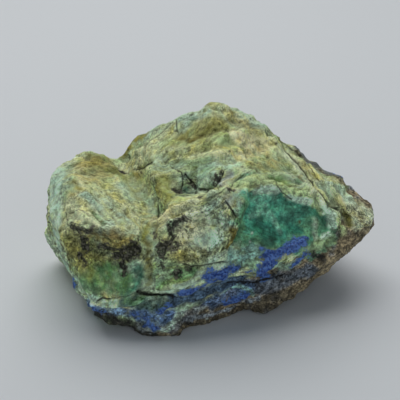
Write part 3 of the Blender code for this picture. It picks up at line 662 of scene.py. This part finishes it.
def threaded_noise(points, regions, shares, wavelength, seed):
    """Noise drawn out along the threads, from -1 to 1."""
    total = np.zeros(len(points))
    for index, ((_, way, squeeze), share) in enumerate(zip(regions, shares)):
        here = np.flatnonzero(share > SMALLEST_SHARE)
        p = points[here]
        p = p - np.outer(p @ way, way) * squeeze
        total[here] += share[here] * noise_field(p, wavelength, seed + 11 * index)
    return total


def ledges(field, steps):
    """A smooth field turned into flats with steep rises between them."""
    raised = field * steps
    whole = np.floor(raised)
    return (whole + smoothstep(0.3, 0.7, raised - whole)) / steps


def neighbour_sums(values, edges):
    """The sum of each point's neighbours' values."""
    a, b = edges.T
    return np.bincount(a, values[b], len(values)) + np.bincount(b, values[a], len(values))


def hollow(points, normals, edges):
    """How far each point lies below the mean of its neighbours, in mm."""
    count = neighbour_sums(np.ones(len(points)), edges)
    mean = np.stack([neighbour_sums(column, edges) / count for column in points.T], axis=1)
    return ((mean - points) * normals).sum(1) / MM


def spread(values, edges):
    """Values averaged with their neighbours'."""
    count = 1 + neighbour_sums(np.ones(len(values)), edges)
    return (values + neighbour_sums(values, edges)) / count


# -------- the stone
def fine_mesh(node):
    """The CAD stone's form as an even, fine mesh."""
    mesh = node.data.copy()
    bm = bmesh.new()
    bm.from_mesh(mesh)
    bmesh.ops.remove_doubles(bm, verts=bm.verts[:], dist=WELD)
    bm.to_mesh(mesh)
    bm.free()
    stone = bpy.data.objects.new("chrysocolla_stone", mesh)
    bpy.context.scene.collection.objects.link(stone)
    remesh = stone.modifiers.new("even", "REMESH")
    remesh.mode = "VOXEL"
    remesh.voxel_size = VOXEL
    smooth = stone.modifiers.new("smooth", "SMOOTH")
    smooth.iterations = SMOOTHING_PASSES
    graph = bpy.context.evaluated_depsgraph_get()
    stone.data = bpy.data.meshes.new_from_object(stone.evaluated_get(graph), depsgraph=graph)
    stone.modifiers.clear()
    stone.data.materials.clear()
    return stone


def read(mesh, what):
    values = np.empty(len(mesh.vertices) * 3, np.float32)
    mesh.vertices.foreach_get(what, values)
    return values.reshape(-1, 3).astype(float)


def bed_tint(rock, wide, broad, medium, bands):
    """The colour of the beds, which the hidden sides keep."""
    tint = np.tile(CREAM, (len(rock), 1))
    for colour, strength, low, high, field in (
            (PALE_GREEN, 1.0, -0.3, 0.4, medium), (SAGE, 0.7, 0.1, 0.6, broad),
            (TAN, 0.7, 0.1, 0.5, bands), (MINT, 0.8, 0.0, 0.25, wide),
            (OLIVE, 0.7, 0.1, 0.3, -wide)):
        tint = mix(tint, colour, strength * smoothstep(low, high, field))
    tint = mix(tint, ROCK_BROWN, rock)
    return mix(tint, ROCK_GREY, rock * smoothstep(-0.1, 0.4, medium))


def paint(points, tree, tint, grain, ragged, patchy, tiny):
    """The washes and specks over the beds, and how far the rock's grain then shows."""
    for name, (colour, half_width, strength, softness, pixels) in WASHES.items():
        d = from_stroke(points, tree, pixels, half_width * 1.7)
        edge = d / half_width - 0.5 * ragged * min(1.0, 1.6 / half_width + 0.3)
        amount = strength * (1 - smoothstep(1 - softness, 1 + 0.25 * softness, edge))
        amount = np.clip(amount * (1 + softness * (patchy - 1)), 0, 1)
        tint = mix(tint, colour, amount)
        grain = mix(grain, 1.0 if name in ROCKY else 0.0, amount)
    for colour, half_width, places in SPECKS.values():
        for place in places:
            d = from_stroke(points, tree, [place], half_width + FAR)
            tint = mix(tint, colour, 0.9 * (1 - smoothstep(0.6, 1.2, d / half_width + 0.6 * tiny)))
    return tint, grain


def forms(points, tree, ragged):
    """The height in mm of the small ridges and hollows."""
    height = np.zeros(len(points))
    for half_width, rise, pixels in FORMS.values():
        d = from_stroke(points, tree, pixels, half_width * 1.5)
        t = np.clip(d / half_width - 0.3 * ragged, 0, 1)
        height += rise * (1 - t * t) ** 2
    return height


def cracks(points, normals, tree):
    """The depth of the cracks, and the nearest one's side, half width and darkness, in mm."""
    depths = np.zeros(len(points))
    nearest = np.full(len(points), FAR)
    side = np.full(len(points), FAR)
    width = np.ones(len(points))
    darkness = np.zeros(len(points))
    for half_width, depth, dark, pixels in CRACKS.values():
        line = stroke_points(tree, pixels)
        here = side_of(points, normals, line, (half_width + 1.0) * MM) / MM
        distance = np.abs(here)
        depths += depth * (1 - smoothstep(0.0, max(1.6 * half_width, CRACK_FORM), distance))
        nearer = distance - half_width < nearest
        side = np.where(nearer, here, side)
        nearest = np.where(nearer, distance - half_width, nearest)
        width = np.where(nearer, half_width, width)
        darkness = np.where(nearer, dark, darkness)
    return depths, side, width, darkness


def dress(stone):
    """Gives the stone its fine relief and the attributes that its material reads."""
    mesh = stone.data
    points = read(mesh, "co")
    normals = read(mesh, "normal")
    edges = np.array([e.vertices[:] for e in mesh.edges])
    tree = BVHTree.FromPolygons([tuple(p) for p in points], [p.vertices[:] for p in mesh.polygons])

    wide, broad, medium, small, tiny, lively = [
        noise_field(points, *field) for field in (WIDE, BROAD, MEDIUM, SMALL, TINY, LIVELY)]
    regions, shares = thread_regions(points, tree)
    bands = threaded_noise(points, regions, shares, *BANDS)
    threads = threaded_noise(points, regions, shares, *THREADS)

    bed = points @ np.array(BED_AXIS) / MM + 1.6 * broad + 0.7 * medium
    rock = 1 - smoothstep(ROCK_TOP - 0.5, ROCK_TOP + 0.5, bed)
    ragged = 0.5 * medium + 0.4 * small + 0.3 * tiny + 0.5 * threads
    patchy = np.clip(1 + 0.9 * small + 0.9 * bands, 0, 1.2)
    tint = bed_tint(rock, wide, broad, medium, bands)
    tint, grain = paint(points, tree, tint, rock, ragged, patchy, tiny)

    # Azurite and manganese: strokes at the front, the beds' own on the hidden sides.
    hidden = normals[:, 1] > HIDDEN_SIDE
    hidden_azurite = np.minimum(bed - ROCK_TOP, AZURITE_TOP - bed) + 0.9 * broad - 0.7
    azurite = marks(points, tree, AZURITE, 0.6 * medium + 0.9 * small)
    azurite = np.maximum(azurite, np.where(hidden, hidden_azurite, -FAR))
    hidden_manganese = 5 * (-wide - 0.31) + 2.0 * broad + 2.0 * medium + small
    hidden_manganese = np.where(hidden & (bed > AZURITE_TOP), hidden_manganese, -FAR)
    manganese = marks(points, tree, MANGANESE, 0.7 * small + 0.6 * tiny)
    manganese = np.maximum(manganese, hidden_manganese)

    # Where the surface is granular, glossy or smooth.
    grain = np.maximum(grain, smoothstep(-0.5, 0.3, azurite))
    gloss = zone(points, tree, GLOSSY)
    lively = smoothstep(-0.3, 0.3, lively + 0.4 * bands)
    lively = np.maximum(lively, zone(points, tree, CREASED))
    rough = (0.45 + 0.55 * lively) * (1 - 0.8 * np.maximum(gloss, zone(points, tree, SMOOTH)))

    # Heights in mm: ledges and threads, lumps, grains, the minerals' crusts, forms and cracks.
    height = rough * (1.2 * ledges(bands + 0.2 * medium, 4) + 0.8 * (np.abs(threads) - 0.2))
    height += rough * (0.3 * medium + 0.25 * small + 0.10 * tiny)
    height += grain * (0.15 * np.abs(small) + 0.12 * np.abs(tiny))
    height += 0.3 * smoothstep(-0.3, 0.5, azurite)
    height -= 0.25 * smoothstep(-0.2, 0.4, manganese)
    height += forms(points, tree, ragged)
    crack_depth, crack_side, crack_width, crack_dark = cracks(points, normals, tree)
    height -= crack_depth

    height[points[:, 2] < RESTING] = 0
    moved = points + normals * (height * MM)[:, None]
    moved[:, 2] = np.maximum(moved[:, 2], 0.0)
    mesh.vertices.foreach_set("co", moved.astype(np.float32).ravel())
    mesh.update()

    # Painted shade darkens the hollows, with an olive-brown tinge, and a painted highlight lightens
    # the ridges.
    depth = spread(hollow(moved, read(mesh, "normal"), edges), edges)
    crust = (1 - grain) * (1 - 0.6 * gloss)
    # The hollows' painted shade: a darker copy of the tint, tinged olive-brown.
    hollow_shade = 0.45 * tint + 0.12 * OLIVE_BROWN
    tint = mix(tint, hollow_shade, crust * np.clip(depth / HOLLOW_DEPTH, 0, 0.85))
    # The ridges' painted highlight: a brighter copy of the tint.
    tint = mix(tint, 1.25 * tint, crust * np.clip(-depth / HOLLOW_DEPTH, 0, 0.5))

    colour = mesh.color_attributes.new("tint", "FLOAT_COLOR", "POINT")
    rgba = np.ones((len(points), 4), np.float32)
    rgba[:, :3] = np.clip(tint, 0, 1)
    colour.data.foreach_set("color", rgba.ravel())
    combed = mesh.attributes.new("combed", "FLOAT_VECTOR", "POINT")
    place = combed_place(points, regions, shares)
    combed.data.foreach_set("vector", place.astype(np.float32).ravel())
    fields = {"azurite": azurite, "manganese": manganese, "grain": grain, "gloss": gloss,
              "steep": 1 - smoothstep(0.35, 0.8, normals[:, 2]), "busy": rough,
              "crack_side": crack_side, "crack_width": crack_width, "crack_dark": crack_dark}
    for name, values in fields.items():
        attribute = mesh.attributes.new(name, "FLOAT", "POINT")
        attribute.data.foreach_set("value", values.astype(np.float32))
    mesh.shade_smooth()


# -------- materials
class Nodes:
    """Short calls for building a node tree. Values are numbers, RGBA colours or sockets."""

    def __init__(self, material):
        material.use_nodes = True
        self.tree = material.node_tree
        self.shader = self.tree.nodes["Principled BSDF"]

    def put(self, node, inputs):
        for name, value in inputs.items():
            if isinstance(value, bpy.types.NodeSocket):
                self.tree.links.new(value, node.inputs[name])
            else:
                node.inputs[name].default_value = value

    def add(self, kind, output, inputs, **settings):
        """An output of a new node. Its inputs go by name or number."""
        node = self.tree.nodes.new(kind)
        for name, value in settings.items():
            setattr(node, name, value)
        self.put(node, inputs)
        return node.outputs[output]

    def attribute(self, name, output="Fac"):
        return self.add("ShaderNodeAttribute", output, {}, attribute_name=name)

    def math(self, operation, *values):
        return self.add("ShaderNodeMath", 0, dict(enumerate(values)), operation=operation)

    def plus(self, a, b):
        return self.math("ADD", a, b)

    def minus(self, a, b):
        return self.math("SUBTRACT", a, b)

    def times(self, a, b):
        return self.math("MULTIPLY", a, b)

    def step(self, value, low, high, out_low=0.0, out_high=1.0):
        inputs = {"Value": value, "From Min": low, "From Max": high,
                  "To Min": out_low, "To Max": out_high}
        return self.add("ShaderNodeMapRange", 0, inputs, interpolation_type="SMOOTHSTEP")

    def noise(self, vector, scale, detail, roughness):
        inputs = {"Vector": vector, "Scale": scale, "Detail": detail, "Roughness": roughness}
        return self.add("ShaderNodeTexNoise", "Fac", inputs)

    def cells(self, vector, scale, output):
        return self.add("ShaderNodeTexVoronoi", output, {"Vector": vector, "Scale": scale})

    def blend(self, factor, a, b):
        """Numbers mixed: the node's float inputs 2 and 3, and its output 0."""
        return self.add("ShaderNodeMix", 0, {0: factor, 2: a, 3: b}, data_type="FLOAT")

    def scale(self, colour, factor):
        return self.add("ShaderNodeVectorMath", 0, {0: colour, "Scale": factor}, operation="SCALE")

    def mix(self, factor, a, b, blend="MIX"):
        """Colours mixed: the node's colour inputs 6 and 7, and its output 2."""
        return self.add("ShaderNodeMix", 2, {0: factor, 6: a, 7: b}, data_type="RGBA",
                        blend_type=blend)


def stone_material():
    material = bpy.data.materials.new("chrysocolla_stone")
    n = Nodes(material)
    place = n.add("ShaderNodeTexCoord", "Object", {})
    combed = n.attribute("combed", "Vector")
    tint = n.attribute("tint", "Color")
    grain, gloss, steep, busy = [n.attribute(name) for name in ("grain", "gloss", "steep", "busy")]
    bare = n.minus(1.0, n.math("MAXIMUM", grain, n.times(gloss, 0.6)))    # plain crust

    strands = n.math("MULTIPLY_ADD", n.plus(n.noise(combed, *STRANDS_ALONG),
                                            n.noise(place, *STRANDS_ROUND)), 0.7, -0.2)
    grit = n.noise(place, *GRIT)
    patches = n.noise(place, *PATCHES)
    mottle = n.noise(place, *MOTTLE)
    # One random value for each grain.
    tone = n.add("ShaderNodeSeparateColor", "Red", {0: n.cells(place, GRAINS, "Color")})

    # Crust: the tint, lumpy and varied in hue, streaked along its threads.
    lumpy = n.scale(tint, n.blend(bare, n.step(mottle, *LUMPS), 1.0))
    hues = n.noise(combed, *HUES)
    minty = n.mix(n.times(bare, n.step(hues, 0.50, 0.36)), lumpy, MINTY, "MULTIPLY")
    varied = n.mix(n.times(bare, n.step(hues, 0.50, 0.64)), minty, YELLOWED, "MULTIPLY")
    lively = n.blend(steep, n.step(strands, *STREAKS_FLAT), n.step(strands, *STREAKS_STEEP))
    streak = n.blend(n.step(busy, 0.15, 0.8), n.step(strands, *STREAKS_SMOOTH), lively)
    streaked = n.scale(varied, n.blend(bare, n.step(strands, *STREAKS_ROCK), streak))
    blotchy = n.scale(streaked, n.blend(n.times(steep, bare), 1.0, n.step(mottle, *BLOTCHES)))
    gritty = n.scale(blotchy, n.step(grit, *GRIT_LIGHT))

    # Stains, fine creases and specks on it.
    stains = n.step(n.noise(combed, *STAINS), *STAIN_COVER)
    stained = n.mix(n.times(bare, stains), gritty, STAIN, "MULTIPLY")
    fold = n.math("ABSOLUTE", n.minus(n.noise(combed, *FOLDS), 0.5))
    wrinkle = n.math("ABSOLUTE", n.minus(n.noise(combed, *WRINKLES), 0.47))
    lines = n.math("MAXIMUM", n.step(fold, 0.0, 0.020, 1.0, 0.0),
                   n.times(n.step(wrinkle, 0.0, 0.024, 1.0, 0.0), 0.8))
    broken_line = n.times(lines, n.step(n.plus(patches, n.times(busy, 0.12)), *CREASE_COVER))
    folded = n.times(broken_line, bare)
    creased = n.mix(folded, stained, CREASE, "MULTIPLY")
    speck_cover = n.math("MAXIMUM", n.step(patches, *SPECK_COVER), n.times(steep, 0.5))
    specks = n.times(n.step(grit, 0.63, 0.68), speck_cover)
    specked = n.mix(n.times(specks, bare), creased, SPECK)

    # Granular rock: dark and light grains.
    rocky = n.scale(specked, n.blend(grain, 1.0, n.step(tone, *GRAIN_LIGHT)))

    # Azurite: deep blue grains, some of them paler or dusty, greener at the edge.
    broken = n.plus(n.times(strands, 3.0), tone)
    azurite_edge = n.plus(n.attribute("azurite"), n.minus(broken, 2.0))
    blue = n.mix(n.step(tone, 0.2, 0.95), BLUE_DEEP, BLUE_BRIGHT)
    blue = n.mix(n.step(grit, 0.52, 0.70, 0.0, 0.7), blue, BLUE_DUSTY)
    blue = n.mix(n.step(azurite_edge, 0.0, 0.5, 0.5, 0.0), blue, BLUE_RIM)
    banded = n.mix(n.step(azurite_edge, -0.25, 0.35), rocky, blue)

    # Manganese: sooty lumps, broken up by the crust.
    soot = n.mix(n.step(tone, 0.5, 1.0), SOOT_DARK, SOOT_PALE)
    soot_edge = n.plus(n.attribute("manganese"), n.minus(broken, 1.9))
    sooty = n.mix(n.step(soot_edge, 0.0, 0.25, 0.0, 0.95), banded, soot)

    # Cracks: thin, wavering and broken.
    waver = n.times(n.minus(n.noise(place, *WAVER), 0.5), 1.3)
    off_line = n.math("ABSOLUTE", n.plus(n.attribute("crack_side"), waver))
    crack = n.step(n.math("DIVIDE", off_line, n.attribute("crack_width")), 0.5, 1.5, 1.0, 0.0)
    crack_cover = n.times(n.attribute("crack_dark"), n.step(strands, 0.38, 0.50, 0.35, 1.0))
    crack = n.times(crack, crack_cover)
    cracked = n.mix(crack, sooty, CRACK_BLACK)

    rough = n.minus(n.step(strands, 0.2, 0.8, 0.65, 0.8), n.times(gloss, 0.34))
    relief = n.plus(n.times(strands, n.minus(1.1, n.times(gloss, 0.7))), n.times(grit, 0.35))
    relief = n.plus(relief, n.times(n.cells(place, GRAINS, "Distance"), n.times(grain, 0.7)))
    relief = n.minus(relief, n.times(n.plus(folded, crack), 0.6))
    bump = n.add("ShaderNodeBump", 0, {"Strength": BUMP_STRENGTH, "Distance": BUMP_DISTANCE,
                                       "Height": relief})
    n.put(n.shader, {"Base Color": cracked, "Roughness": rough,
                     "Specular IOR Level": SPECULAR, "Normal": bump})
    return material


def floor_material():
    material = bpy.data.materials.new("pale_floor")
    n = Nodes(material)
    n.put(n.shader, {"Base Color": FLOOR_COLOUR, "Roughness": FLOOR_ROUGHNESS})
    return material


# -------- stage
def add_camera():
    camera = bpy.data.objects.new("camera", bpy.data.cameras.new("camera"))
    bpy.context.scene.collection.objects.link(camera)
    camera.location = EYE
    camera.rotation_euler = (math.pi / 2 - VIEW_ELEVATION, 0, 0)
    camera.data.sensor_width = SENSOR_WIDTH
    camera.data.lens = SENSOR_WIDTH * VIEW_DISTANCE / (IMAGE_SIZE / PIXELS_PER_M)
    camera.data.clip_start = 10 * MM
    bpy.context.scene.camera = camera


def add_light(name, place, size, power, colour):
    light = bpy.data.lights.new(name, "AREA")
    light.size = size
    light.energy = power
    light.color = colour
    lamp = bpy.data.objects.new(name, light)
    lamp.location = place
    lamp.rotation_euler = (-Vector(place)).to_track_quat("-Z", "Y").to_euler()
    bpy.context.scene.collection.objects.link(lamp)


def add_stage():
    bpy.ops.mesh.primitive_plane_add(size=FLOOR_SIZE)
    floor = bpy.context.object
    floor.name = "floor"
    floor.data.materials.append(floor_material())
    world = bpy.data.worlds.new("studio")
    bpy.context.scene.world = world
    world.use_nodes = True
    background = world.node_tree.nodes["Background"]
    background.inputs["Color"].default_value = SKY_COLOUR
    background.inputs["Strength"].default_value = SKY_STRENGTH
    for name, settings in LAMPS.items():
        add_light(name, *settings)
    bpy.context.scene.view_settings.view_transform = "Standard"


add_camera()
add_stage()
stone = fine_mesh(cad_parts["specimen"])
dress(stone)
stone.data.materials.append(stone_material())
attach(stone, "root")
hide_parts("specimen")
